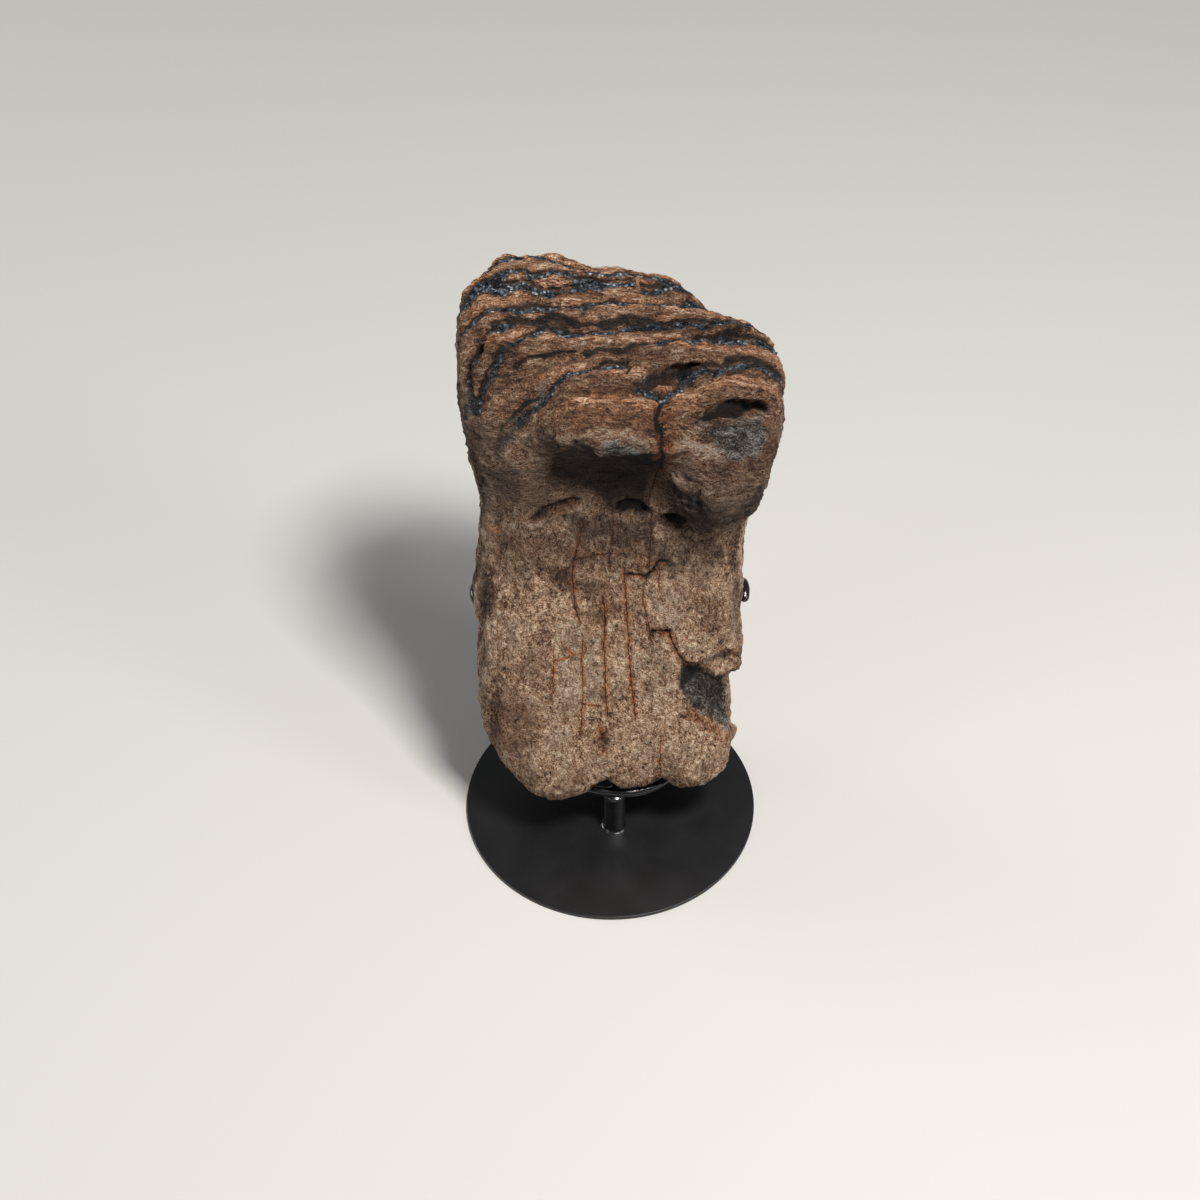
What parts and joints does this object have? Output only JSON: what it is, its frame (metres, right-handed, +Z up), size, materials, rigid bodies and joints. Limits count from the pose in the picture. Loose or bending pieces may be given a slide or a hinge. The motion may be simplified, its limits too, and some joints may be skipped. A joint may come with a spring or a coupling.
{
  "type": "fossil molar on display stand",
  "caption": "Fossil mammoth molar, a tall block of upright enamel plates in cementum, held on a low black metal stand with a round base and bent rod prongs.",
  "frame": {"origin": "centre of the base plate's underside, on the table", "axes": "+Z up the tooth to its chewing face, +Y back along the row of enamel plates, +X to the tooth's right as one faces its front end"},
  "size_m": [0.1058, 0.1193, 0.194],
  "materials": {
    "fossil": "matte",
    "black_steel": "satin"
  },
  "bodies": {
    "root": {"base_plate": "black_steel", "post": "black_steel", "side_prong_rod": "black_steel", "back_prong_rod": "black_steel", "mammoth_molar": "fossil"}
  },
  "joints": []
}
